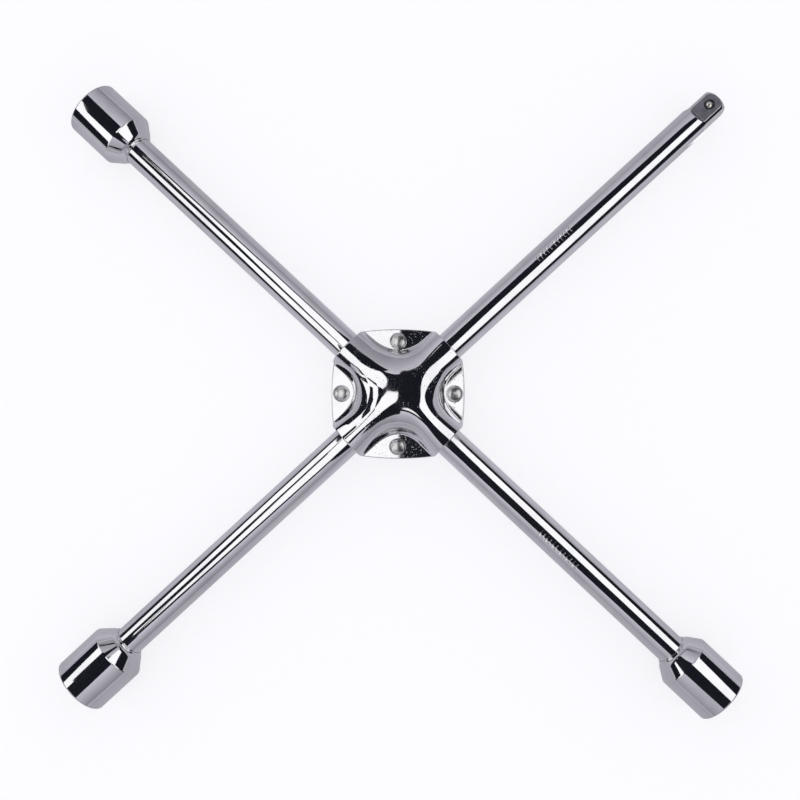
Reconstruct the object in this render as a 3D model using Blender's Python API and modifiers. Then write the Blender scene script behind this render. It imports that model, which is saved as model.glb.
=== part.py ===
"""Four-way wheel wrench: two crossed bars held by riveted cover plates, three
sockets and a square drive with a spring-loaded ball.

Units are metres. The bar axes cross at the origin in the plane z = 0, +X runs
along bar A towards its second socket and +Y along bar B towards the drive.
"""

import math

import bmesh
import bpy
from mathutils import Matrix, Vector

MM = 0.001

# Bars
ARM = 229.0 * MM  # crossing to the end face of every arm
BAR_RADIUS = 8.0 * MM
BAR_CHAMFER = 0.8 * MM
BAR_A_ANGLE = math.radians(2.15)  # direction of +X end of bar A
BAR_B_ANGLE = math.radians(87.85)  # direction of the drive end of bar B
GAP = 0.3 * MM  # working gap between neighbouring pieces
BAR_STEPS = 48

# Sockets
SOCKET_LENGTH = 35.0 * MM
SOCKET_CONE = 8.4 * MM
SOCKET_GRIP = 10.0 * MM  # length of bar inside the back of a socket
SOCKET_WEB = 14.0 * MM  # back face to the floor of the hexagon
SOCKET_LEAD_IN = 2.0 * MM
SOCKET_STEPS = 48
SOCKETS = {
    # name: (arm angle, outside diameter, width across flats)
    "socket_17mm": (BAR_A_ANGLE, 30.0 * MM, 17.2 * MM),
    "socket_19mm": (BAR_A_ANGLE + math.pi, 31.0 * MM, 19.2 * MM),
    "socket_21mm": (BAR_B_ANGLE + math.pi, 32.0 * MM, 21.2 * MM),
}

# Square drive
DRIVE_SIDE = 12.7 * MM
DRIVE_LENGTH = 14.2 * MM
DRIVE_RUN_OUT = 3.0 * MM  # radius that the milled flats end in
DRIVE_TURN = math.radians(-8.0)  # turn of the square about bar B

# Detent in the square drive
BALL_RADIUS = 2.3 * MM
BALL_FROM_END = 6.4 * MM
BALL_CENTRE_DEPTH = 1.6 * MM  # below the drive face
DETENT_BORE = 2.4 * MM
DETENT_LIP = 2.05 * MM
DETENT_SINK = 2.9 * MM  # shallow countersink round the ball
DETENT_DEPTH = 9.8 * MM
SPRING_RADIUS = 1.75 * MM  # to the middle of the wire
SPRING_WIRE = 0.25 * MM
SPRING_TURNS = 5.0

# Cover plates
PLATE_THICKNESS = 2.2 * MM
PLATE_SEAM = 0.15 * MM  # half of the gap between the two plates
PLATE_CROWN = 10.7 * MM  # height of the tunnels over the bars
PLATE_HALF_WIDTH = 11.8 * MM  # of a tunnel
PLATE_FILLET = 2.0 * MM
PLATE_SADDLE = 18.0 * MM  # rounding between neighbouring tunnels
RIDGE_ROUNDING = 1.2 * MM
RIDGE_SHIFT_A = -4.0 * MM  # the pressed ridges run off the bar axes at the middle
RIDGE_SHIFT_B = 1.2 * MM
RIDGE_SHIFT_REACH = 20.0 * MM
DOME_RISE = 4.0 * MM  # extra height over the crossing
DOME_Y = -4.0 * MM
DOME_REACH = 29.0 * MM
DOME_LEAN_X = 0.18
DOME_LEAN_Y = -0.13
DOME_LEAN_REACH = 26.0 * MM
CANT = -0.35  # sideways tilt of the tunnel towards the 19 mm socket
CANT_RISE = 1.2 * MM
CANT_START = 6.0 * MM  # from the crossing, where the tilt begins
CANT_EASE = 22.0 * MM  # length over which it grows
PLATE_MOUTH = 36.8 * MM  # crossing to the end of each tunnel
PLATE_HALF_LONG = 35.2 * MM  # along +X+Y and -X-Y
PLATE_HALF_SHORT = 34.3 * MM  # along -X+Y and +X-Y
PLATE_BOW = 140.0 * MM
# millimetres from each bar axis to the lines of a plate's mesh
PLATE_GRID = (0, 3.5, 6.5, 9, 10.7, 11.8, 13.2, 14.8, 16.2, 17.5, 19.5, 23, 28, 37.5)

# Rivets
RIVET_LONG = 29.9 * MM  # from the crossing, along +X+Y
RIVET_SHORT = 27.9 * MM  # from the crossing, along -X+Y
RIVET_HEAD_RADIUS = 4.5 * MM
RIVET_HEAD_HEIGHT = 2.7 * MM
RIVET_SHANK = 2.5 * MM
RIVET_HOLE = 2.8 * MM
RIVET_STEPS = 20


def clear_scene():
    for obj in list(bpy.data.objects):
        bpy.data.objects.remove(obj, do_unlink=True)


def make_collection(name, hidden):
    collection = bpy.data.collections.new(name)
    collection.hide_render = hidden
    bpy.context.scene.collection.children.link(collection)
    return collection


def make_material(name, colour, metallic, roughness):
    material = bpy.data.materials.new(name)
    material.use_nodes = True
    shader = material.node_tree.nodes["Principled BSDF"]
    shader.inputs["Base Color"].default_value = (*colour, 1.0)
    shader.inputs["Metallic"].default_value = metallic
    shader.inputs["Roughness"].default_value = roughness
    material.diffuse_color = (*colour, 1.0)
    return material


def add_object(name, mesh, collection, material=None):
    obj = bpy.data.objects.new(name, mesh)
    collection.objects.link(obj)
    if material is not None:
        mesh.materials.append(material)
    return obj


def mesh_from(name, points, faces=(), edges=()):
    mesh = bpy.data.meshes.new(name)
    mesh.from_pydata(points, edges, faces)
    mesh.update()
    return mesh


def revolved(name, profile, steps, collection, material=None):
    """A solid of revolution about local Z. The profile is (radius, height)."""
    points = [(radius, 0.0, height) for radius, height in profile]
    edges = [(i, i + 1) for i in range(len(points) - 1)]
    mesh = mesh_from(name, points, edges=edges)
    obj = add_object(name, mesh, collection, material)
    screw = obj.modifiers.new("Revolve", "SCREW")
    screw.steps = steps
    screw.render_steps = steps
    screw.use_merge_vertices = True
    screw.merge_threshold = 0.00001
    screw.use_smooth_shade = True
    return obj


def prism(name, outline, low, high, collection):
    """An upright prism between two heights, from a counter-clockwise outline."""
    count = len(outline)
    points = [(x, y, low) for x, y in outline] + [(x, y, high) for x, y in outline]
    faces = [tuple(reversed(range(count))), tuple(range(count, 2 * count))]
    for i in range(count):
        j = (i + 1) % count
        faces.append((i, j, j + count, i + count))
    return add_object(name, mesh_from(name, points, faces), collection)


def mark_cutter(obj):
    obj.hide_render = True
    obj.display_type = "WIRE"
    return obj


def boolean(obj, cutter, operation="DIFFERENCE"):
    modifier = obj.modifiers.new(cutter.name, "BOOLEAN")
    modifier.operation = operation
    modifier.solver = "EXACT"
    modifier.object = cutter
    return modifier


def along_arm(angle):
    """Turns local Z to the arm's direction and local -X to world +Z."""
    return Matrix.Rotation(angle, 4, "Z") @ Matrix.Rotation(math.pi / 2, 4, "Y")


def direction(angle):
    return Vector((math.cos(angle), math.sin(angle), 0.0))


def make_bars(parts, cutters, steel):
    inner_end = ARM - SOCKET_LENGTH + SOCKET_GRIP - GAP
    tip = BAR_RADIUS - BAR_CHAMFER
    bar_a = revolved(
        "bar_a",
        [
            (0.0, inner_end),
            (tip, inner_end),
            (BAR_RADIUS, inner_end - BAR_CHAMFER),
            (BAR_RADIUS, -inner_end + BAR_CHAMFER),
            (tip, -inner_end),
            (0.0, -inner_end),
        ],
        BAR_STEPS,
        parts,
        steel,
    )
    bar_a.matrix_world = along_arm(BAR_A_ANGLE)
    bar_b = revolved(
        "bar_b",
        [
            (0.0, ARM),
            (5.5 * MM, ARM),
            (6.6 * MM, ARM - 0.8 * MM),
            (7.5 * MM, ARM - 1.8 * MM),
            (BAR_RADIUS, ARM - 2.8 * MM),
            (BAR_RADIUS, -inner_end + BAR_CHAMFER),
            (tip, -inner_end),
            (0.0, -inner_end),
        ],
        BAR_STEPS,
        parts,
        steel,
    )
    bar_b.matrix_world = along_arm(BAR_B_ANGLE)
    half = BAR_RADIUS + GAP
    notches = (
        (bar_a, "notch_in_bar_a", BAR_B_ANGLE, -GAP / 2, 12 * MM),
        (bar_b, "notch_in_bar_b", BAR_A_ANGLE, -12 * MM, GAP / 2),
    )
    for bar, name, angle, low, high in notches:
        outline = [
            (-20 * MM, -half),
            (20 * MM, -half),
            (20 * MM, half),
            (-20 * MM, half),
        ]
        cutter = mark_cutter(prism(name, outline, low, high, cutters))
        cutter.rotation_euler.z = angle
        boolean(bar, cutter)
    return bar_a, bar_b


def drive_frame():
    """Local X across the drive, Y along bar B outwards, Z out of the ball's face."""
    turn = Matrix.Rotation(DRIVE_TURN, 4, "Y")
    return Matrix.Rotation(BAR_B_ANGLE - math.pi / 2, 4, "Z") @ turn


def make_drive(bar_b, cutters):
    """Mills four flats with rounded run-outs on the end of bar B."""
    start = ARM - DRIVE_LENGTH
    side = DRIVE_SIDE / 2
    rise = BAR_RADIUS + 1.0 * MM - side
    reach = math.acos(1.0 - rise / DRIVE_RUN_OUT)
    profile = [(ARM + 2 * MM, side), (ARM + 2 * MM, side + rise)]
    for i in range(9):
        turn = reach * (1.0 - i / 8.0)
        y = start - DRIVE_RUN_OUT * math.sin(turn)
        z = side + DRIVE_RUN_OUT * (1.0 - math.cos(turn))
        profile.append((y, z))
    count = len(profile)
    width = 10 * MM
    points = [(-width, y, z) for y, z in profile] + [(width, y, z) for y, z in profile]
    faces = [tuple(reversed(range(count))), tuple(range(count, 2 * count))]
    for i in range(count):
        j = (i + 1) % count
        faces.append((i, j, j + count, i + count))
    for quarter in range(4):
        name = f"drive_flat_{quarter + 1}"
        mesh = mesh_from(name, points, faces)
        shape = bmesh.new()
        shape.from_mesh(mesh)
        bmesh.ops.recalc_face_normals(shape, faces=shape.faces)
        shape.to_mesh(mesh)
        shape.free()
        cutter = mark_cutter(add_object(name, mesh, cutters))
        quarter_turn = Matrix.Rotation(quarter * math.pi / 2, 4, "Y")
        cutter.matrix_world = drive_frame() @ quarter_turn
        boolean(bar_b, cutter)


def make_detent(bar_b, parts, cutters, steel):
    """Drills the ball's hole in the drive and adds the ball and its spring."""
    face = DRIVE_SIDE / 2
    place = drive_frame() @ Matrix.Translation((0.0, ARM - BALL_FROM_END, 0.0))
    hole = revolved(
        "detent_hole",
        [
            (0.0, face + 1.0 * MM),
            (DETENT_SINK, face + 1.0 * MM),
            (DETENT_SINK, face),
            (DETENT_LIP, face - 0.35 * MM),
            (DETENT_LIP, face - 0.45 * MM),
            (DETENT_BORE, face - 0.9 * MM),
            (DETENT_BORE, face - DETENT_DEPTH),
            (0.0, face - DETENT_DEPTH),
        ],
        32,
        cutters,
    )
    mark_cutter(hole).matrix_world = place
    boolean(bar_b, hole)

    rings = 10
    arc = [math.pi * i / rings for i in range(rings + 1)]
    profile = [
        (BALL_RADIUS * math.sin(turn), BALL_RADIUS * math.cos(turn)) for turn in arc
    ]
    profile[0] = (0.0, BALL_RADIUS)
    profile[-1] = (0.0, -BALL_RADIUS)
    ball = revolved("detent_ball", profile, 20, parts, steel)
    ball_height = face - BALL_CENTRE_DEPTH
    ball.matrix_world = place @ Matrix.Translation((0.0, 0.0, ball_height))

    top = ball_height - BALL_RADIUS - GAP - SPRING_WIRE
    bottom = face - DETENT_DEPTH + GAP + SPRING_WIRE
    curve = bpy.data.curves.new("detent_spring", "CURVE")
    curve.dimensions = "3D"
    curve.bevel_depth = SPRING_WIRE
    curve.bevel_resolution = 1
    curve.use_fill_caps = True
    spline = curve.splines.new("POLY")
    per_turn = 12
    count = int(SPRING_TURNS * per_turn) + 1
    spline.points.add(count - 1)
    for i in range(count):
        turn = 2 * math.pi * i / per_turn
        height = bottom + (top - bottom) * i / (count - 1)
        x = SPRING_RADIUS * math.cos(turn)
        y = SPRING_RADIUS * math.sin(turn)
        spline.points[i].co = (x, y, height, 1.0)
    curve.materials.append(steel)
    spring = bpy.data.objects.new("detent_spring", curve)
    parts.objects.link(spring)
    spring.matrix_world = place


def make_socket(name, angle, outside, across, parts, cutters, steel):
    radius = outside / 2
    corner = across / math.sqrt(3.0)
    bore = BAR_RADIUS + GAP
    edge = 0.8 * MM
    floor = SOCKET_LENGTH - SOCKET_LEAD_IN
    profile = [
        (0.0, floor),
        (across / 2 - 0.4 * MM, floor),
        (corner + 0.5 * MM, SOCKET_LENGTH),
        (radius - edge, SOCKET_LENGTH),
        (radius - 0.25 * edge, SOCKET_LENGTH - 0.3 * edge),
        (radius, SOCKET_LENGTH - edge),
        (radius, SOCKET_CONE + 0.6 * MM),
        (radius - 0.3 * MM, SOCKET_CONE - 0.3 * MM),
        (10.9 * MM, 2.4 * MM),
        (10.0 * MM, 1.4 * MM),
        (9.4 * MM, 0.7 * MM),
        (9.2 * MM, 0.0),
        (bore, 0.0),
        (bore, SOCKET_GRIP),
        (0.0, SOCKET_GRIP),
    ]
    socket = revolved(name, profile, SOCKET_STEPS, parts, steel)
    place = along_arm(angle) @ Matrix.Translation((0.0, 0.0, ARM - SOCKET_LENGTH))
    socket.matrix_world = place
    hexagon = []
    for i in range(6):
        turn = math.pi / 3 * i
        hexagon.append((corner * math.cos(turn), corner * math.sin(turn)))
    name = name + "_hexagon"
    top = SOCKET_LENGTH + 1 * MM
    cutter = mark_cutter(prism(name, hexagon, SOCKET_WEB, top, cutters))
    cutter.matrix_world = place
    boolean(socket, cutter)


def smooth_minimum(a, b, rounding):
    blend = max(rounding - abs(a - b), 0.0) / rounding
    return min(a, b) - blend * blend * rounding / 4


def plate_height(x, y):
    """Outside height of a plate: two rounded tunnels that meet in a leaning dome."""
    flat = PLATE_SEAM + PLATE_THICKNESS
    out = x * x + y * y
    near = math.exp(-out / RIDGE_SHIFT_REACH**2)
    to_a = math.cos(BAR_A_ANGLE) * y - math.sin(BAR_A_ANGLE) * x
    to_b = math.sin(BAR_B_ANGLE) * x - math.cos(BAR_B_ANGLE) * y
    to_a = abs(to_a + RIDGE_SHIFT_A * near)
    to_b = abs(to_b + RIDGE_SHIFT_B * near)
    away = smooth_minimum(to_a, to_b, PLATE_SADDLE)
    away = 0.5 * (away + math.sqrt(away * away + RIDGE_ROUNDING**2))
    tunnel = PLATE_CROWN * math.sqrt(1.0 - min(away / PLATE_HALF_WIDTH, 1.0) ** 2)
    height = -smooth_minimum(-tunnel, -flat, PLATE_FILLET)
    lift = min(max((height - flat) / (PLATE_CROWN - flat), 0.0), 1.0)
    dome = DOME_RISE * math.exp(-(x * x + (y - DOME_Y) ** 2) / DOME_REACH**2)
    lean = (DOME_LEAN_X * x + DOME_LEAN_Y * y) * math.exp(-out / DOME_LEAN_REACH**2)
    part_way = min(max((-x - CANT_START) / CANT_EASE, 0.0), 1.0)
    part_way = part_way * part_way * (3 - 2 * part_way)
    return height + lift * (dome + lean + part_way * (CANT * y + CANT_RISE))


def plate_outline():
    """Four bowed sides and four square tunnel mouths, counter-clockwise."""
    arms = [BAR_A_ANGLE, BAR_B_ANGLE, BAR_A_ANGLE + math.pi, BAR_B_ANGLE + math.pi]
    sides = (
        (math.pi / 4, PLATE_HALF_LONG),
        (3 * math.pi / 4, PLATE_HALF_SHORT),
        (5 * math.pi / 4, PLATE_HALF_LONG),
        (7 * math.pi / 4, PLATE_HALF_SHORT),
    )
    outline = []
    steps = 120
    for i in range(steps):
        turn = 2 * math.pi * i / steps
        reach = 1.0
        for arm in arms:
            cosine = math.cos(turn - arm)
            if cosine > 0.5:
                reach = min(reach, PLATE_MOUTH / cosine)
        for middle, half in sides:
            cosine = math.cos(turn - middle)
            if cosine > 0.5:
                back = half - PLATE_BOW
                sine = math.sin(turn - middle)
                root = math.sqrt(PLATE_BOW**2 - (back * sine) ** 2)
                reach = min(reach, back * cosine + root)
        outline.append((reach * math.cos(turn), reach * math.sin(turn)))
    return outline


def make_plate(name, side, parts, outline_cutter, hole_cutters, steel):
    """One pressed cover. side is 1 for the front plate and -1 for the back one."""
    lines = [-d * MM for d in reversed(PLATE_GRID[1:])] + [d * MM for d in PLATE_GRID]
    normal_a = Vector((-math.sin(BAR_A_ANGLE), math.cos(BAR_A_ANGLE)))
    normal_b = Vector((math.sin(BAR_B_ANGLE), -math.cos(BAR_B_ANGLE)))
    skew = Matrix((normal_a, normal_b)).inverted()
    points = []
    for to_a in lines:
        for to_b in lines:
            x, y = skew @ Vector((to_a, to_b))
            points.append((x, y, side * plate_height(x, y)))
    count = len(lines)
    faces = []
    for i in range(count - 1):
        for j in range(count - 1):
            first = i * count + j
            face = (first, first + 1, first + count + 1, first + count)
            faces.append(face if side > 0 else tuple(reversed(face)))
    plate = add_object(name, mesh_from(name, points, faces), parts, steel)
    for polygon in plate.data.polygons:
        polygon.use_smooth = True
    shell = plate.modifiers.new("Thickness", "SOLIDIFY")
    shell.thickness = PLATE_THICKNESS
    shell.offset = -1.0
    boolean(plate, outline_cutter, "INTERSECT")
    for hole in hole_cutters:
        boolean(plate, hole)
    return plate


def rivet_places():
    return {
        "rivet_1": RIVET_LONG * direction(math.pi / 4),
        "rivet_2": RIVET_SHORT * direction(3 * math.pi / 4),
        "rivet_3": RIVET_LONG * direction(5 * math.pi / 4),
        "rivet_4": RIVET_SHORT * direction(7 * math.pi / 4),
    }


def make_rivet(name, place, parts, steel):
    seat = PLATE_SEAM + PLATE_THICKNESS + GAP / 2
    head = []
    rim = seat + 0.4 * MM
    for i in range(6):
        turn = math.pi / 2 * i / 5
        radius = RIVET_HEAD_RADIUS * math.sin(turn)
        head.append((radius, rim + (RIVET_HEAD_HEIGHT - 0.4 * MM) * math.cos(turn)))
    head[0] = (0.0, seat + RIVET_HEAD_HEIGHT)
    head.append((RIVET_HEAD_RADIUS - 0.2 * MM, seat))
    head.append((RIVET_SHANK, seat))
    profile = head + [(radius, -height) for radius, height in reversed(head)]
    rivet = revolved(name, profile, RIVET_STEPS, parts, steel)
    rivet.location = place


def main():
    clear_scene()
    parts = make_collection("Wrench", False)
    cutters = make_collection("Cutters", True)
    chrome = make_material("Chrome", (0.80, 0.80, 0.82), 1.0, 0.08)
    bright_steel = make_material("Bright steel", (0.62, 0.61, 0.60), 1.0, 0.30)

    bar_a, bar_b = make_bars(parts, cutters, chrome)
    make_drive(bar_b, cutters)
    make_detent(bar_b, parts, cutters, bright_steel)
    for name, (angle, outside, across) in SOCKETS.items():
        make_socket(name, angle, outside, across, parts, cutters, chrome)

    outline = prism("plate_outline", plate_outline(), -30 * MM, 30 * MM, cutters)
    mark_cutter(outline)
    holes = []
    for name, place in rivet_places().items():
        hole = revolved(
            name + "_hole",
            [(0.0, 9 * MM), (RIVET_HOLE, 9 * MM), (RIVET_HOLE, -9 * MM), (0.0, -9 * MM)],
            24,
            cutters,
        )
        hole.location = place
        holes.append(mark_cutter(hole))
        make_rivet(name, place, parts, bright_steel)
    make_plate("front_cover_plate", 1, parts, outline, holes, chrome)
    make_plate("back_cover_plate", -1, parts, outline, holes, chrome)


main()
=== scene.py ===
"""Looks of the four-way wheel wrench: fine meshes, materials, light and camera."""

import math

import bmesh
import bpy
import numpy as np
from mathutils import Matrix, Vector


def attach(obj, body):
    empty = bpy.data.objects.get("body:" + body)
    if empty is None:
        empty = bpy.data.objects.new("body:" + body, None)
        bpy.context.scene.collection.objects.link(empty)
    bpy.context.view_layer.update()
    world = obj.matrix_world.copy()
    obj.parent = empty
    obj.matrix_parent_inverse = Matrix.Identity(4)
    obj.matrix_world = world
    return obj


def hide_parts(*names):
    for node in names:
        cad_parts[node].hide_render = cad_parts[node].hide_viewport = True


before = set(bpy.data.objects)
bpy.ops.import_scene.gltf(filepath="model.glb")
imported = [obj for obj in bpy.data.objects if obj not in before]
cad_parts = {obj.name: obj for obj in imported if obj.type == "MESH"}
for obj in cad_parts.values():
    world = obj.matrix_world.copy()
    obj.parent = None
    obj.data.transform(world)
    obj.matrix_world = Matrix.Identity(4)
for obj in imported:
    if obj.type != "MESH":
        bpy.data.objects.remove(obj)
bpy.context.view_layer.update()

MM = 0.001

# The same sizes as the CAD
ARM = 229.0 * MM
BAR_RADIUS = 8.0 * MM
BAR_A = math.radians(2.15)
BAR_B = math.radians(87.85)
SOCKET_LENGTH = 35.0 * MM
SOCKET_CONE = 8.4 * MM
SOCKET_GRIP = 10.0 * MM
SOCKET_WEB = 14.0 * MM  # back face to the floor of the hexagon
SOCKETS = {
    # name: (arm angle, outside diameter, width across flats)
    "socket_17mm": (BAR_A, 30.0 * MM, 17.2 * MM),
    "socket_19mm": (BAR_A + math.pi, 31.0 * MM, 19.2 * MM),
    "socket_21mm": (BAR_B + math.pi, 32.0 * MM, 21.2 * MM),
}
DRIVE_SIDE = 12.7 * MM
DRIVE_LENGTH = 14.2 * MM
DRIVE_RUN_OUT = 3.0 * MM
DRIVE_TURN = math.radians(-8.0)
BALL_FROM_END = 6.4 * MM
BALL_RADIUS = 2.3 * MM
BALL_DEPTH = 1.6 * MM
DETENT_SINK = 2.9 * MM  # radius of the countersink at the face
DETENT_LIP = 2.05 * MM  # radius of the lip that keeps the ball in
DETENT_BORE = 2.4 * MM
DETENT_FLOOR = 9.8 * MM  # depth of the hole's end below the face
PLATE_THICKNESS = 2.2 * MM
PLATE_SEAM = 0.15 * MM
PLATE_CROWN = 10.7 * MM
PLATE_HALF_WIDTH = 11.8 * MM
PLATE_FILLET = 2.0 * MM
PLATE_SADDLE = 18.0 * MM
RIDGE_ROUNDING = 1.2 * MM
RIDGE_SHIFT_A = -4.0 * MM
RIDGE_SHIFT_B = 1.2 * MM
RIDGE_SHIFT_REACH = 20.0 * MM
DOME_RISE = 4.0 * MM
DOME_Y = -4.0 * MM
DOME_REACH = 29.0 * MM
DOME_LEAN_X = 0.18
DOME_LEAN_Y = -0.13
DOME_LEAN_REACH = 26.0 * MM
CANT = -0.35  # sideways tilt of the tunnel towards the 19 mm socket
CANT_RISE = 1.2 * MM
CANT_START = 6.0 * MM
CANT_EASE = 22.0 * MM
PLATE_MOUTH = 36.8 * MM
PLATE_HALF_LONG = 35.2 * MM
PLATE_HALF_SHORT = 34.3 * MM
PLATE_BOW = 140.0 * MM
RIVET_LONG = 29.9 * MM  # from the crossing, along +X+Y
RIVET_SHORT = 27.9 * MM  # from the crossing, along -X+Y
RIVET_SHANK = 2.5 * MM
RIVET_HEAD_RADIUS = 4.5 * MM
RIVET_HEAD_HEIGHT = 2.7 * MM

# Turn of the photograph's right-hand direction in the row frame
VIEW_TURN = math.radians(45.21)


# ---------------------------------------------------------------- meshes


def mesh_object(name, points, faces, material):
    mesh = bpy.data.meshes.new(name)
    mesh.from_pydata([tuple(p) for p in points], [], [tuple(f) for f in faces])
    mesh.update()
    mesh.polygons.foreach_set("use_smooth", [True] * len(mesh.polygons))
    obj = bpy.data.objects.new(name, mesh)
    bpy.context.scene.collection.objects.link(obj)
    mesh.materials.append(material)
    return obj


def tube_faces(rings, around, first=0):
    """Quads between rings of points, each ring running round the axis."""
    faces = []
    for i in range(rings - 1):
        for j in range(around):
            m = (j + 1) % around
            a = first + i * around + j
            b = first + i * around + m
            faces.append((a, a + around, b + around, b))
    return faces


def sharp_by_angle(obj, degrees):
    shape = bmesh.new()
    shape.from_mesh(obj.data)
    limit = math.radians(degrees)
    for edge in shape.edges:
        edge.smooth = edge.calc_face_angle(0.0) < limit
    shape.to_mesh(obj.data)
    shape.free()


def face_outwards(obj):
    shape = bmesh.new()
    shape.from_mesh(obj.data)
    bmesh.ops.remove_doubles(shape, verts=shape.verts, dist=0.0000005)
    bmesh.ops.recalc_face_normals(shape, faces=shape.faces)
    shape.to_mesh(obj.data)
    shape.free()


def apply_modifiers(obj):
    graph = bpy.context.evaluated_depsgraph_get()
    mesh = bpy.data.meshes.new_from_object(obj.evaluated_get(graph))
    obj.modifiers.clear()
    obj.data = mesh


def along_arm(angle):
    """Turns local Z to run out along the arm at this angle."""
    return Matrix.Rotation(angle, 4, "Z") @ Matrix.Rotation(math.pi / 2, 4, "Y")


def rounded(corners, radius, steps=4):
    """A profile with each inner corner replaced by a small arc."""
    out = [corners[0]]
    for before, here, after in zip(corners, corners[1:], corners[2:]):
        p, q, r = Vector(before[:2]), Vector(here[:2]), Vector(after[:2])
        size = here[2] if len(here) > 2 else radius
        a, b = (p - q), (r - q)
        cut = min(size, a.length * 0.45, b.length * 0.45)
        start, end = q + a.normalized() * cut, q + b.normalized() * cut
        for i in range(steps + 1):
            t = i / steps
            point = start * (1 - t) ** 2 + q * 2 * t * (1 - t) + end * t**2
            out.append((point.x, point.y))
    out.append(corners[-1])
    return [(c[0], c[1]) for c in out]


def lathe(name, profile, around, material):
    """A turned solid about local Z from (radius, height) points, outside first."""
    turns = np.linspace(0, 2 * math.pi, around, endpoint=False)
    rings = []
    for radius, height in profile:
        radius = max(radius, 0.00001 * MM)
        ring = np.column_stack(
            [radius * np.cos(turns), radius * np.sin(turns), np.full(around, height)]
        )
        rings.append(ring)
    points = np.concatenate(rings)
    faces = tube_faces(len(profile), around)
    obj = mesh_object(name, points, faces, material)
    face_outwards(obj)
    return obj


# ------------------------------------------------------------- materials


class Nodes:
    """A small helper that adds nodes to one material."""

    def __init__(self, name):
        self.material = bpy.data.materials.new(name)
        self.material.use_nodes = True
        self.tree = self.material.node_tree
        self.shader = self.tree.nodes["Principled BSDF"]
        self.place = self.add("ShaderNodeTexCoord").outputs["Object"]

    def add(self, kind, **settings):
        node = self.tree.nodes.new(kind)
        for key, value in settings.items():
            setattr(node, key, value)
        return node

    def link(self, source, target):
        self.tree.links.new(source, target)

    def stretched(self, scale, turn=0.0):
        node = self.add("ShaderNodeMapping")
        node.inputs["Rotation"].default_value = (0.0, 0.0, turn)
        node.inputs["Scale"].default_value = scale
        self.link(self.place, node.inputs["Vector"])
        return node.outputs["Vector"]

    def noise(self, vector, scale, detail=3.0, rough=0.5):
        node = self.add("ShaderNodeTexNoise")
        node.inputs["Scale"].default_value = scale
        node.inputs["Detail"].default_value = detail
        node.inputs["Roughness"].default_value = rough
        self.link(vector, node.inputs["Vector"])
        return node.outputs["Fac"]

    def cells(self, vector, scale):
        node = self.add("ShaderNodeTexVoronoi")
        node.inputs["Scale"].default_value = scale
        self.link(vector, node.inputs["Vector"])
        return node.outputs["Distance"]

    def ranged(self, value, low, high, to_low, to_high):
        node = self.add("ShaderNodeMapRange", clamp=True)
        node.inputs["From Min"].default_value = low
        node.inputs["From Max"].default_value = high
        node.inputs["To Min"].default_value = to_low
        node.inputs["To Max"].default_value = to_high
        self.link(value, node.inputs["Value"])
        return node.outputs["Result"]

    def product(self, first, second):
        node = self.add("ShaderNodeMath", operation="MULTIPLY")
        self.link(first, node.inputs[0])
        self.link(second, node.inputs[1])
        return node.outputs["Value"]

    def mix_colour(self, factor, first, second):
        node = self.add("ShaderNodeMix", data_type="RGBA")
        self.link(factor, node.inputs["Factor"])
        node.inputs[6].default_value = (*first, 1.0)
        node.inputs[7].default_value = (*second, 1.0)
        return node.outputs[2]

    def bump(self, height, distance, strength=1.0, under=None):
        node = self.add("ShaderNodeBump")
        node.inputs["Strength"].default_value = strength
        node.inputs["Distance"].default_value = distance
        self.link(height, node.inputs["Height"])
        if under is not None:
            self.link(under, node.inputs["Normal"])
        return node.outputs["Normal"]


def chrome(name, turn, wave, pits=0.0, base=(0.86, 0.86, 0.885), dull=(0.70, 0.70, 0.73)):
    """Plated steel: long soft waves, drawn hairlines, cloudy roughness and pits."""
    n = Nodes(name)
    long_grain = n.stretched((1.0, 6.0, 6.0), turn)
    waves = n.noise(long_grain, 14.0, 1.0)
    normal = n.bump(waves, wave)
    hair = n.noise(n.stretched((2.0, 90.0, 90.0), turn), 22.0, 4.0, 0.65)
    normal = n.bump(hair, 0.0000022, under=normal)
    if pits:
        spots = n.cells(n.place, 900.0)
        patches = n.noise(n.place, 90.0, 2.0)
        deep = n.ranged(spots, 0.0, 0.22, 1.0, 0.0)
        where = n.ranged(patches, 0.48, 0.60, 0.0, 1.0)
        normal = n.bump(n.product(deep, where), -0.07 * MM, pits, normal)
    n.link(normal, n.shader.inputs["Normal"])
    cloud = n.noise(n.place, 60.0, 4.0, 0.6)
    n.link(n.ranged(cloud, 0.3, 0.75, 0.035, 0.085), n.shader.inputs["Roughness"])
    tint = n.mix_colour(n.ranged(cloud, 0.45, 0.9, 0.0, 1.0), base, dull)
    n.link(tint, n.shader.inputs["Base Color"])
    n.shader.inputs["Metallic"].default_value = 1.0
    return n.material


def dull_steel(name, base, dark, rough_low, rough_high, grain=0.00002):
    """Unpolished metal: mottled colour, uneven sheen and a fine hammered grain."""
    n = Nodes(name)
    blotch = n.noise(n.place, 260.0, 5.0, 0.65)
    n.link(
        n.mix_colour(n.ranged(blotch, 0.35, 0.65, 0.0, 1.0), base, dark),
        n.shader.inputs["Base Color"],
    )
    fine = n.noise(n.place, 1400.0, 4.0, 0.6)
    n.link(n.ranged(fine, 0.3, 0.7, rough_low, rough_high), n.shader.inputs["Roughness"])
    dents = n.cells(n.place, 700.0)
    normal = n.bump(dents, grain)
    normal = n.bump(fine, grain * 0.5, under=normal)
    n.link(normal, n.shader.inputs["Normal"])
    n.shader.inputs["Metallic"].default_value = 1.0
    return n.material


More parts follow.
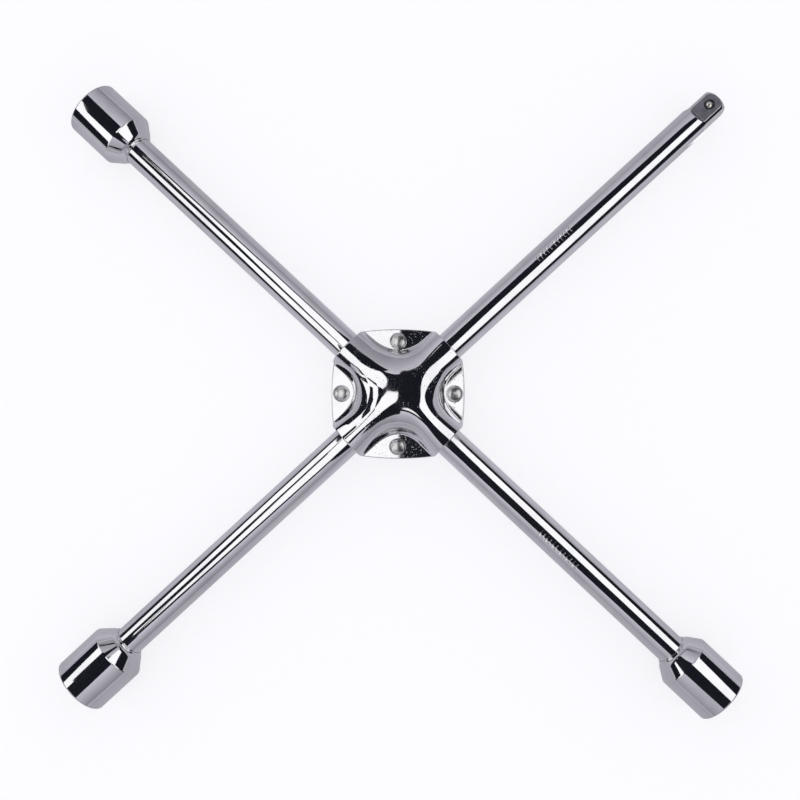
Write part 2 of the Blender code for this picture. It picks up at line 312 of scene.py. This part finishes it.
bar_a_chrome = chrome("bar_a_chrome", -BAR_A, 0.00006)
bar_b_chrome = chrome("bar_b_chrome", -BAR_B, 0.00006)
socket_chrome = chrome("socket_chrome", 0.0, 0.00003)
plate_chrome = chrome("plate_chrome", 0.4, 0.00009, pits=0.8)
drive_grey = dull_steel(
    "drive_face_steel", (0.36, 0.36, 0.40), (0.22, 0.22, 0.25), 0.28, 0.45
)
inside_steel = dull_steel(
    "socket_inside_steel", (0.55, 0.55, 0.57), (0.36, 0.36, 0.38), 0.22, 0.38
)
# near-black steel for the ball's hole: painted shade in the countersink and bore
detent_painted_shade = dull_steel(
    "detent_hole_painted_shade", (0.09, 0.09, 0.11), (0.05, 0.05, 0.06), 0.30, 0.45
)
rivet_steel = dull_steel(
    "rivet_satin_steel", (0.78, 0.77, 0.77), (0.55, 0.54, 0.54), 0.22, 0.36, 0.00003
)
ball_steel = dull_steel(
    "ball_steel", (0.95, 0.93, 0.88), (0.76, 0.73, 0.67), 0.16, 0.26, 0.00001
)


# ------------------------------------------------------------------ bars


def stamped(u, v):
    """Depth of plain stamped strokes, u along the arm and v round it."""
    deep = np.zeros_like(u)
    strokes = ((0.0, 1.9), (2.2, 1.4), (4.4, 1.9), (6.6, 1.4), (8.8, 1.9), (11.0, 1.4))
    for row in range(2):
        for centre, tall in strokes:
            across = np.abs(u - (centre + row * 14.0) * MM)
            along = np.abs(v)
            inside = np.clip(1.0 - across / (0.45 * MM), 0, 1)
            inside = inside * np.clip((tall * MM - along) / (0.3 * MM), 0, 1)
            deep = np.maximum(deep, inside)
    return deep * 0.22 * MM


def flat_radius(along, turns, radius):
    """Radius of the bar with the four milled flats of the drive."""
    start = ARM - DRIVE_LENGTH
    back = np.clip(start - along, 0.0, DRIVE_RUN_OUT * 0.95)
    rise = DRIVE_RUN_OUT - np.sqrt(DRIVE_RUN_OUT**2 - back**2)
    side = DRIVE_SIDE / 2 + rise
    turned = np.mod(turns + math.pi / 4, math.pi / 2) - math.pi / 4
    flat = side / np.cos(turned)
    soft = 0.12 * MM
    h = np.clip(0.5 + 0.5 * (flat - radius) / soft, 0, 1)
    mixed = flat * (1 - h) + radius * h - soft * h * (1 - h)
    return mixed, flat < radius


def bar(name, angle, stations, around, material, marks_at, marks_turn, drive=False):
    """A round bar about local Z, as rings at the given stations."""
    turns = np.linspace(0, 2 * math.pi, around, endpoint=False)
    along = np.array([s[0] for s in stations])[:, None] + 0 * turns[None, :]
    radius = np.array([s[1] for s in stations])[:, None] + 0 * turns[None, :]
    is_flat = np.zeros_like(radius, dtype=bool)
    if drive:
        radius, is_flat = flat_radius(along, turns[None, :] - DRIVE_TURN, radius)
        is_flat = is_flat & (along > ARM - 23 * MM)
    # round the bar, turn 0 is local X, which is world -Z
    up = np.mod(turns[None, :] - math.pi - marks_turn + math.pi, 2 * math.pi) - math.pi
    radius = radius - stamped(along - marks_at, up * BAR_RADIUS)
    points = np.stack([radius * np.cos(turns), radius * np.sin(turns), along], axis=-1)
    rings = len(stations)
    points = points.reshape(-1, 3)
    faces = tube_faces(rings, around)
    flats = [
        bool(is_flat[i, j] and is_flat[i + 1, j])
        for i in range(rings - 1)
        for j in range(around)
    ]
    first = len(points)
    ends = [(0.0, 0.0, stations[0][0]), (0.0, 0.0, stations[-1][0])]
    points = np.concatenate([points, np.array(ends)])
    for j in range(around):
        m = (j + 1) % around
        faces.append((first, j, m))
        last = (rings - 1) * around
        faces.append((first + 1, last + m, last + j))
        flats += [False, drive]
    obj = mesh_object(name, points, faces, material)
    if drive:
        obj.data.materials.append(drive_grey)
        obj.data.polygons.foreach_set("material_index", [int(f) for f in flats])
    obj.matrix_world = along_arm(angle)
    return obj


def spaced(low, high, step):
    count = max(int(round((high - low) / step)), 1)
    return list(np.linspace(low, high, count, endpoint=False))


INNER_END = ARM - SOCKET_LENGTH + SOCKET_GRIP - 0.3 * MM
AROUND = 192


def make_bars():
    stops = spaced(-INNER_END + 0.8 * MM, 100 * MM, 6 * MM)
    stops += spaced(100 * MM, 134 * MM, 0.15 * MM)
    stops_a = stops + spaced(134 * MM, INNER_END - 0.8 * MM, 6 * MM)
    stations = [(-INNER_END, BAR_RADIUS - 0.8 * MM)]
    stations += [(s, BAR_RADIUS) for s in stops_a]
    stations += [(INNER_END - 0.8 * MM, BAR_RADIUS), (INNER_END, BAR_RADIUS - 0.8 * MM)]
    bar_a = bar(
        "chrome_bar_a", BAR_A, stations, AROUND, bar_a_chrome, 103.5 * MM, 0.28
    )
    stops_b = stops + spaced(134 * MM, ARM - 20 * MM, 6 * MM)
    stops_b += spaced(ARM - 20 * MM, ARM - 13 * MM, 0.12 * MM)
    stops_b += spaced(ARM - 13 * MM, ARM - 3.4 * MM, 0.6 * MM)
    stations = [(-INNER_END, BAR_RADIUS - 0.8 * MM)]
    stations += [(s, BAR_RADIUS) for s in stops_b]
    tip = [(3.2, 8.0), (2.6, 7.93), (2.0, 7.7), (1.4, 7.35), (0.8, 6.8), (0.35, 6.2)]
    stations += [(ARM - back * MM, radius * MM) for back, radius in tip]
    stations += [(ARM, 5.5 * MM)]
    bar_b = bar(
        "chrome_bar_b",
        BAR_B,
        stations,
        AROUND,
        bar_b_chrome,
        99.5 * MM,
        -0.25,
        drive=True,
    )
    return bar_a, bar_b


def drive_place():
    """The ball's place on the drive, with local Z out of the face."""
    turn = Matrix.Rotation(DRIVE_TURN, 4, "Y")
    turn = Matrix.Rotation(BAR_B - math.pi / 2, 4, "Z") @ turn
    return turn @ Matrix.Translation((0.0, ARM - BALL_FROM_END, 0.0))


def drill_detent(bar_b):
    """The ball's blind hole, with its countersink, in the face of the drive; its faces get a
    near-black painted shade.
    """
    face = DRIVE_SIDE / 2
    profile = rounded(
        [
            (0.0, face + 1.0 * MM),
            (DETENT_SINK, face + 1.0 * MM),
            (DETENT_SINK, face),
            (DETENT_LIP, face - 0.35 * MM),
            (DETENT_LIP, face - 0.45 * MM),
            (DETENT_BORE, face - 0.9 * MM),
            (DETENT_BORE, face - DETENT_FLOOR),
            (0.0, face - DETENT_FLOOR),
        ],
        0.05 * MM,
        2,
    )
    # the cutter's near-black material is transferred to the hole's faces as painted shade
    cutter = lathe("detent_cutter", profile, 64, detent_painted_shade)
    cutter.matrix_world = drive_place()
    modifier = bar_b.modifiers.new("Detent hole", "BOOLEAN")
    modifier.object = cutter
    modifier.operation = "DIFFERENCE"
    modifier.solver = "EXACT"
    modifier.material_mode = "TRANSFER"
    bpy.context.view_layer.update()
    apply_modifiers(bar_b)
    bpy.data.objects.remove(cutter, do_unlink=True)


def make_ball():
    steps = 32
    profile = []
    for i in range(steps + 1):
        turn = math.pi * i / steps
        profile.append((BALL_RADIUS * math.sin(turn), BALL_RADIUS * math.cos(turn)))
    ball = lathe("steel_detent_ball", profile, 64, ball_steel)
    height = DRIVE_SIDE / 2 - BALL_DEPTH
    ball.matrix_world = drive_place() @ Matrix.Translation((0.0, 0.0, height))
    return ball


# --------------------------------------------------------------- sockets


def make_socket(name, angle, outside, across):
    """A turned socket with a coned back, a hexagon bore and a bore for the bar."""
    radius = outside / 2
    corner = across / math.sqrt(3.0)
    inside = [
        (0.0, SOCKET_LENGTH - 2.0 * MM),
        (across / 2 - 0.4 * MM, SOCKET_LENGTH - 2.0 * MM),
        (corner + 0.5 * MM, SOCKET_LENGTH),
    ]
    corners = [
        inside[-1],
        (radius - 0.6 * MM, SOCKET_LENGTH, 0.3 * MM),
        (radius, SOCKET_LENGTH - 0.6 * MM, 0.3 * MM),
        (radius, SOCKET_CONE, 0.5 * MM),
        (10.7 * MM, 2.0 * MM, 1.2 * MM),
        (9.2 * MM, 0.9 * MM, 0.5 * MM),
        (8.95 * MM, 0.0, 0.3 * MM),
        (8.05 * MM, -0.05 * MM, 0.1 * MM),
        (8.3 * MM, 0.8 * MM, 0.1 * MM),
        (8.3 * MM, SOCKET_GRIP, 0.1 * MM),
        (0.0, SOCKET_GRIP),
    ]
    profile = inside[:-1] + rounded(corners, 0.4 * MM)
    socket = lathe(name, profile, 192, socket_chrome)
    hexagon = bmesh.new()
    bmesh.ops.create_cone(
        hexagon,
        cap_ends=True,
        segments=6,
        radius1=corner,
        radius2=corner,
        depth=SOCKET_LENGTH - SOCKET_WEB + 1 * MM,
    )
    lift = (SOCKET_LENGTH + SOCKET_WEB + 1 * MM) / 2
    bmesh.ops.translate(hexagon, verts=hexagon.verts, vec=(0, 0, lift))
    mesh = bpy.data.meshes.new("hexagon")
    hexagon.to_mesh(mesh)
    hexagon.free()
    mesh.materials.append(inside_steel)
    cutter = bpy.data.objects.new("hexagon", mesh)
    bpy.context.scene.collection.objects.link(cutter)
    modifier = socket.modifiers.new("Hexagon", "BOOLEAN")
    modifier.object = cutter
    modifier.operation = "DIFFERENCE"
    modifier.solver = "EXACT"
    modifier.material_mode = "TRANSFER"
    apply_modifiers(socket)
    bpy.data.objects.remove(cutter, do_unlink=True)
    sharp_by_angle(socket, 24)
    place = along_arm(angle) @ Matrix.Translation((0.0, 0.0, ARM - SOCKET_LENGTH))
    socket.matrix_world = place
    return socket


# ---------------------------------------------------------------- plates


def soft_minimum(a, b, rounding):
    blend = np.clip(rounding - np.abs(a - b), 0.0, None) / rounding
    return np.minimum(a, b) - blend * blend * rounding / 4


def plate_surface(x, y):
    """Outside height of a cover: two rounded tunnels that meet in a leaning dome."""
    flat = PLATE_SEAM + PLATE_THICKNESS
    out = x * x + y * y
    near = np.exp(-out / RIDGE_SHIFT_REACH**2)
    to_a = np.abs(-math.sin(BAR_A) * x + math.cos(BAR_A) * y + RIDGE_SHIFT_A * near)
    to_b = np.abs(math.sin(BAR_B) * x - math.cos(BAR_B) * y + RIDGE_SHIFT_B * near)
    away = soft_minimum(to_a, to_b, PLATE_SADDLE)
    away = 0.5 * (away + np.sqrt(away * away + RIDGE_ROUNDING**2))
    across = np.clip(away / PLATE_HALF_WIDTH, 0.0, 1.0)
    tunnel = PLATE_CROWN * np.sqrt(1.0 - across**2)
    height = -soft_minimum(-tunnel, -flat + 0 * x, PLATE_FILLET)
    lift = np.clip((height - flat) / (PLATE_CROWN - flat), 0.0, 1.0)
    dome = DOME_RISE * np.exp(-(x * x + (y - DOME_Y) ** 2) / DOME_REACH**2)
    lean = (DOME_LEAN_X * x + DOME_LEAN_Y * y) * np.exp(-out / DOME_LEAN_REACH**2)
    part_way = np.clip((-x - CANT_START) / CANT_EASE, 0.0, 1.0)
    part_way = part_way * part_way * (3 - 2 * part_way)
    return height + lift * (dome + lean + part_way * (CANT * y + CANT_RISE))


def plate_inside(x, y):
    """Inside height of a cover, one sheet's thickness below the outside."""
    step = 0.05 * MM
    slope_x = (plate_surface(x + step, y) - plate_surface(x - step, y)) / (2 * step)
    slope_y = (plate_surface(x, y + step) - plate_surface(x, y - step)) / (2 * step)
    thick = PLATE_THICKNESS * np.sqrt(1.0 + slope_x**2 + slope_y**2)
    return np.maximum(plate_surface(x, y) - thick, PLATE_SEAM)


def outline_reach(turns):
    """How far a cover reaches from the crossing: flat mouths and bowed sides."""
    reach = np.full(len(turns), 1.0)
    for arm in (BAR_A, BAR_B, BAR_A + math.pi, BAR_B + math.pi):
        cosine = np.cos(turns - arm)
        ok = cosine > 0.5
        reach[ok] = np.minimum(reach[ok], PLATE_MOUTH / cosine[ok])
    for k, half in enumerate((PLATE_HALF_LONG, PLATE_HALF_SHORT) * 2):
        middle = math.pi / 4 + k * math.pi / 2
        cosine = np.cos(turns - middle)
        sine = np.sin(turns - middle)
        ok = cosine > 0.5
        back = half - PLATE_BOW
        bow = back * cosine + np.sqrt(PLATE_BOW**2 - (back * sine) ** 2)
        reach[ok] = np.minimum(reach[ok], bow[ok])
    return reach


def make_plate(name, side):
    """Rings of points from the middle of the outside, round the edge and back inside."""
    around = 720
    edge = 0.55 * MM  # rounding of the outside edge
    lip = 0.35 * MM  # rounding of the inside edge
    turns = np.linspace(0, 2 * math.pi, around, endpoint=False)
    reach = outline_reach(turns)
    # ease the outline's corners
    for _ in range(3):
        reach = (np.roll(reach, 1) + 2 * reach + np.roll(reach, -1)) / 4
    rings = []
    for t in np.linspace(0.0, 1.0, 110)[1:]:
        r = t * (reach - edge)
        x, y = r * np.cos(turns), r * np.sin(turns)
        z = plate_surface(x, y)
        rings.append((x, y, z))
    for i in range(1, 6):
        turn = math.pi / 2 * i / 5
        r = reach - edge + edge * math.sin(turn)
        x, y = r * np.cos(turns), r * np.sin(turns)
        z = plate_surface(x, y)
        rings.append((x, y, z - edge * (1 - math.cos(turn))))
    x, y = reach * np.cos(turns), reach * np.sin(turns)
    low = plate_inside(x, y)
    top = rings[-1][2]
    rings.append((x, y, np.minimum(low + lip, top - 0.1 * MM)))
    for i in range(1, 4):
        turn = math.pi / 2 * i / 3
        r = reach - lip * (1 - math.cos(turn))
        x, y = r * np.cos(turns), r * np.sin(turns)
        rings.append((x, y, plate_inside(x, y) + lip * (1 - math.sin(turn))))
    for t in np.linspace(1.0, 0.0, 60)[1:-1]:
        r = t * (reach - lip)
        x, y = r * np.cos(turns), r * np.sin(turns)
        rings.append((x, y, plate_inside(x, y)))
    middle = np.zeros(1)
    points = [np.column_stack([middle, middle, plate_surface(middle, middle)])]
    for x, y, z in rings:
        points.append(np.column_stack([x, y, z]))
    points.append(np.column_stack([middle, middle, plate_inside(middle, middle)]))
    points = np.concatenate(points)
    points[:, 2] *= side
    faces = tube_faces(len(rings), around, first=1)
    last = 1 + (len(rings) - 1) * around
    for j in range(around):
        m = (j + 1) % around
        faces.append((0, 1 + j, 1 + m))
        faces.append((len(points) - 1, last + m, last + j))
    if side < 0:
        faces = [tuple(reversed(f)) for f in faces]
    plate = mesh_object(name, points, faces, plate_chrome)
    sharp_by_angle(plate, 60)
    return plate


# ---------------------------------------------------------------- rivets


def make_rivet(name, place):
    """A rivet through both covers, with the same domed head at each end."""
    seat = PLATE_SEAM + PLATE_THICKNESS + 0.03 * MM
    lift = 0.45 * MM
    head = []
    steps = 14
    for i in range(steps + 1):
        turn = math.pi / 2 * i / steps
        radius = RIVET_HEAD_RADIUS * math.sin(turn)
        head.append((radius, seat + lift + (RIVET_HEAD_HEIGHT - lift) * math.cos(turn)))
    head.append((RIVET_HEAD_RADIUS - 0.05 * MM, seat + 0.15 * MM))
    head.append((RIVET_HEAD_RADIUS - 0.25 * MM, seat))
    head.append((RIVET_SHANK, seat))
    profile = head + [(radius, -height) for radius, height in reversed(head)]
    rivet = lathe(name, profile, 64, rivet_steel)
    sharp_by_angle(rivet, 50)
    rivet.location = place
    return rivet


def dent_rivet(rivet, seed):
    """Small irregular flats that hammering leaves on a head."""
    rim = PLATE_SEAM + PLATE_THICKNESS + 0.2 * MM
    spread = 0.93  # cosine of the angle from a flat's middle to its edge
    depth = 0.018
    random = np.random.default_rng(seed)
    hits = random.normal(size=(7, 3))
    hits /= np.linalg.norm(hits, axis=1)[:, None]
    for vertex in rivet.data.vertices:
        point = np.array(vertex.co)
        if abs(point[2]) < rim:
            continue
        way = point / np.linalg.norm(point)
        near = np.clip((hits @ way - spread) / (1 - spread), 0, 1).max()
        vertex.co = Vector(point * (1 - depth * near))


# ---------------------------------------------------------------- build

bar_a, bar_b = make_bars()
bpy.context.view_layer.update()
drill_detent(bar_b)
sharp_by_angle(bar_b, 30)
pieces = [
    (bar_a, "wrench", "bar_chrome", ["bar_a"]),
    (bar_b, "wrench", "bar_chrome", ["bar_b"]),
    (make_ball(), "detent", "detent_steel", ["detent_ball"]),
]
for name, (angle, outside, across) in SOCKETS.items():
    socket = make_socket("chrome_" + name, angle, outside, across)
    pieces.append((socket, "wrench", "socket_chrome", [name]))
front = make_plate("chrome_front_cover", 1)
back = make_plate("chrome_back_cover", -1)
pieces.append((front, "wrench", "plate_chrome", ["front_cover_plate"]))
pieces.append((back, "wrench", "plate_chrome", ["back_cover_plate"]))
for number in range(4):
    reach = RIVET_LONG if number % 2 == 0 else RIVET_SHORT
    turn = math.pi / 4 + number * math.pi / 2
    place = (reach * math.cos(turn), reach * math.sin(turn), 0.0)
    rivet = make_rivet(f"satin_rivet_{number + 1}", place)
    dent_rivet(rivet, number)
    pieces.append((rivet, "wrench", "rivet_steel", [f"rivet_{number + 1}"]))

bpy.context.view_layer.update()
for obj, body, slot, nodes in pieces:
    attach(obj, body)
    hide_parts(*nodes)

# the spring is hidden in its hole, so the CAD's own is shown
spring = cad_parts["detent_spring"]
spring.data.materials.clear()
spring.data.materials.append(ball_steel)


# ------------------------------------------------------------ stage, light

STAGE_TURN = Matrix.Rotation(VIEW_TURN, 4, "Z")
PANEL_HEIGHT = 0.62


def glow(name, colour, strength, edge_at=None, edge=0.0, far=0.0, right_side=1.0):
    """Plain light, or light that falls from `edge` to `far` away from the middle."""
    material = bpy.data.materials.new(name)
    material.use_nodes = True
    tree = material.node_tree
    tree.nodes.clear()
    out = tree.nodes.new("ShaderNodeOutputMaterial")
    light = tree.nodes.new("ShaderNodeEmission")
    light.inputs["Color"].default_value = (*colour, 1.0)
    light.inputs["Strength"].default_value = strength
    tree.links.new(light.outputs[0], out.inputs["Surface"])
    if edge_at is None:
        return material

    def maths(operation, first, second):
        node = tree.nodes.new("ShaderNodeMath")
        node.operation = operation
        for socket, value in zip(node.inputs, (first, second)):
            if isinstance(value, float):
                socket.default_value = value
            else:
                tree.links.new(value, socket)
        return node.outputs[0]

    place = tree.nodes.new("ShaderNodeTexCoord").outputs["Object"]
    axes = tree.nodes.new("ShaderNodeSeparateXYZ")
    tree.links.new(place, axes.inputs[0])
    away = maths("MAXIMUM", maths("ABSOLUTE", axes.outputs["Y"], 0.0), edge_at)
    fall = maths("DIVIDE", (edge - far) * edge_at, away)
    side = tree.nodes.new("ShaderNodeMapRange")
    side.inputs["From Min"].default_value = -0.1
    side.inputs["From Max"].default_value = 0.4
    side.inputs["To Min"].default_value = 1.0
    side.inputs["To Max"].default_value = right_side
    tree.links.new(axes.outputs["X"], side.inputs["Value"])
    level = maths("MULTIPLY", maths("ADD", fall, far), side.outputs["Result"])
    tree.links.new(level, light.inputs["Strength"])
    return material


def panel(name, corners, height, material):
    """A flat stage panel. Its corners are to the right and up as the camera sees them."""
    points = [(right, up, height) for right, up in corners]
    obj = mesh_object(name, points, [tuple(reversed(range(len(points))))], material)
    obj.matrix_world = STAGE_TURN
    obj.visible_camera = False
    obj.visible_shadow = False
    obj.visible_diffuse = False
    return obj


def rectangle(left, right, bottom, top):
    return [(left, bottom), (right, bottom), (right, top), (left, top)]


WHITE = (1.0, 1.0, 1.0)
LILAC = (0.93, 0.91, 1.0)
white_glow = glow("white_glow", WHITE, 1.12)
black_cloth = glow("black_cloth", (0.45, 0.50, 0.75), 0.02)
lilac_glow = glow("lilac_glow", LILAC, 1.0, 0.47, 0.70, 0.31, 0.85)

# narrow flags just above the arms, which keep the bands in the chrome even
FLAG_HEIGHT = 0.08
right_flag = [(-0.003, 0.085), (0.05, 0.125), (0.15, 0.19), (0.20, 0.165), (0.02, 0.004)]
right_flag += [(0.215, -0.178), (0.17, -0.215), (0.05, -0.125), (-0.003, -0.085)]
panel("flag_right", right_flag[::-1], FLAG_HEIGHT, black_cloth)
upper_flag = [(-0.0743, 0.0096), (-0.22, 0.153), (-0.205, 0.175), (-0.1445, 0.1233)]
upper_flag += [(-0.1133, 0.0939), (-0.0924, 0.0533), (-0.0633, 0.0212)]
panel("flag_upper_left", upper_flag[::-1], FLAG_HEIGHT, black_cloth)
socket_flag = [(-0.1681, 0.1408), (-0.1407, 0.17), (-0.1841, 0.2202), (-0.2163, 0.1859)]
panel("flag_socket_19mm", socket_flag[::-1], FLAG_HEIGHT, black_cloth)
socket_flag = [(-0.1812, -0.1206), (-0.2326, -0.1681), (-0.1852, -0.2196), (-0.1379, -0.1677)]
panel("flag_socket_21mm", socket_flag, FLAG_HEIGHT, black_cloth)
lower_flag = [(-0.0745, -0.0006), (-0.0601, -0.0163), (-0.0906, -0.0467)]
lower_flag += [(-0.1144, -0.0843), (-0.1455, -0.1139), (-0.205, -0.16), (-0.225, -0.145)]
panel("flag_lower_left", lower_flag[::-1], FLAG_HEIGHT, black_cloth)

# three soft boxes
top = [(-0.28, -0.295), (0.11, -0.295), (0.11, 0.36), (-0.28, 0.36)]
top += [(-0.33, 0.23), (-0.28, 0.16), (-0.28, -0.09), (-0.33, -0.165)]
panel("light_top", top, PANEL_HEIGHT, white_glow)
left = [(-0.34, -0.25), (-0.34, 0.25), (-0.98, 1.05), (-1.10, 1.02), (-1.27, 0.80)]
left += [(-1.10, 0.48), (-1.10, -0.48), (-1.27, -0.78), (-1.10, -0.98), (-0.98, -1.02)]
panel("light_left", left[::-1], PANEL_HEIGHT, white_glow)
right = [(0.165, -0.11), (0.40, -0.42), (0.62, -0.58), (0.97, -0.52), (0.87, 0.25)]
right += [(0.84, 0.45), (0.65, 0.62), (0.30, 0.30), (0.165, 0.12)]
panel("light_right", right, PANEL_HEIGHT, white_glow)

# dark surroundings and the pale lilac room above and below
panel("dark_frame", rectangle(-0.62, 0.45, -0.42, 0.46), PANEL_HEIGHT + 0.002, black_cloth)
far = [(0.60, 0.55), (0.60, -0.52), (1.9, -1.9), (6.0, -3.0), (5.5, 2.1), (2.2, 1.6), (1.65, 1.70)]
panel("dark_far_right", far, PANEL_HEIGHT + 0.004, black_cloth)
far = [(-0.95, 0.95), (-2.4, 2.4), (-3.5, 3.3), (-5.0, 2.0), (-5.0, -2.0), (-3.6, -3.2)]
far += [(-2.4, -2.4), (-0.95, -0.95)]
panel("dark_far_left", far, PANEL_HEIGHT + 0.004, black_cloth)
panel("lilac_up", rectangle(-4.0, 4.0, 0.46, 6.0), PANEL_HEIGHT + 0.006, lilac_glow)
panel("lilac_down", rectangle(-4.0, 4.0, -6.0, -0.42), PANEL_HEIGHT + 0.006, lilac_glow)

world = bpy.data.worlds.new("studio")
bpy.context.scene.world = world
world.use_nodes = True
background = world.node_tree.nodes["Background"]
background.inputs["Color"].default_value = (*LILAC, 1.0)
background.inputs["Strength"].default_value = 0.50

floor_material = bpy.data.materials.new("pale_floor")
floor_material.use_nodes = True
shader = floor_material.node_tree.nodes["Principled BSDF"]
shader.inputs["Base Color"].default_value = (0.80, 0.80, 0.80, 1.0)
shader.inputs["Roughness"].default_value = 0.9
shader.inputs["Emission Color"].default_value = (1.0, 1.0, 1.0, 1.0)
shader.inputs["Emission Strength"].default_value = 0.60
FLOOR = -16.3 * MM
floor = panel("floor", rectangle(-4.0, 4.0, -4.0, 4.0), FLOOR, floor_material)
floor.data.flip_normals()
floor.visible_camera = True
floor.visible_glossy = False
# polished metal mirrors this softer grey floor, a hair below the pale one
grey_floor = glow("grey_floor", LILAC, 1.0, 0.06, 0.56, 0.40)
panel("floor_mirrored", rectangle(-4.0, 4.0, -4.0, 4.0), FLOOR - 0.5 * MM, grey_floor)
# a small white card puts the white edge on the bar near the drive
card = [(0.159, 0.1405), (0.1765, 0.1215), (0.197, 0.140), (0.1795, 0.1595)]
panel("card_by_drive", card, FLOOR - 0.3 * MM, white_glow)

# ----------------------------------------------------------------- camera

camera_data = bpy.data.cameras.new("camera")
camera_data.sensor_width = 36.0
camera_data.lens = 42.75
camera_data.clip_start = 0.01
camera = bpy.data.objects.new("camera", camera_data)
bpy.context.scene.collection.objects.link(camera)
turn = Matrix.Rotation(VIEW_TURN, 4, "Z")
turn = turn @ Matrix.Rotation(math.radians(2.56), 4, "X")
turn = turn @ Matrix.Rotation(math.radians(2.63), 4, "Y")
camera.matrix_world = Matrix.Translation((35.25 * MM, -0.95 * MM, 503 * MM)) @ turn
bpy.context.scene.camera = camera
bpy.context.scene.view_settings.view_transform = "Standard"
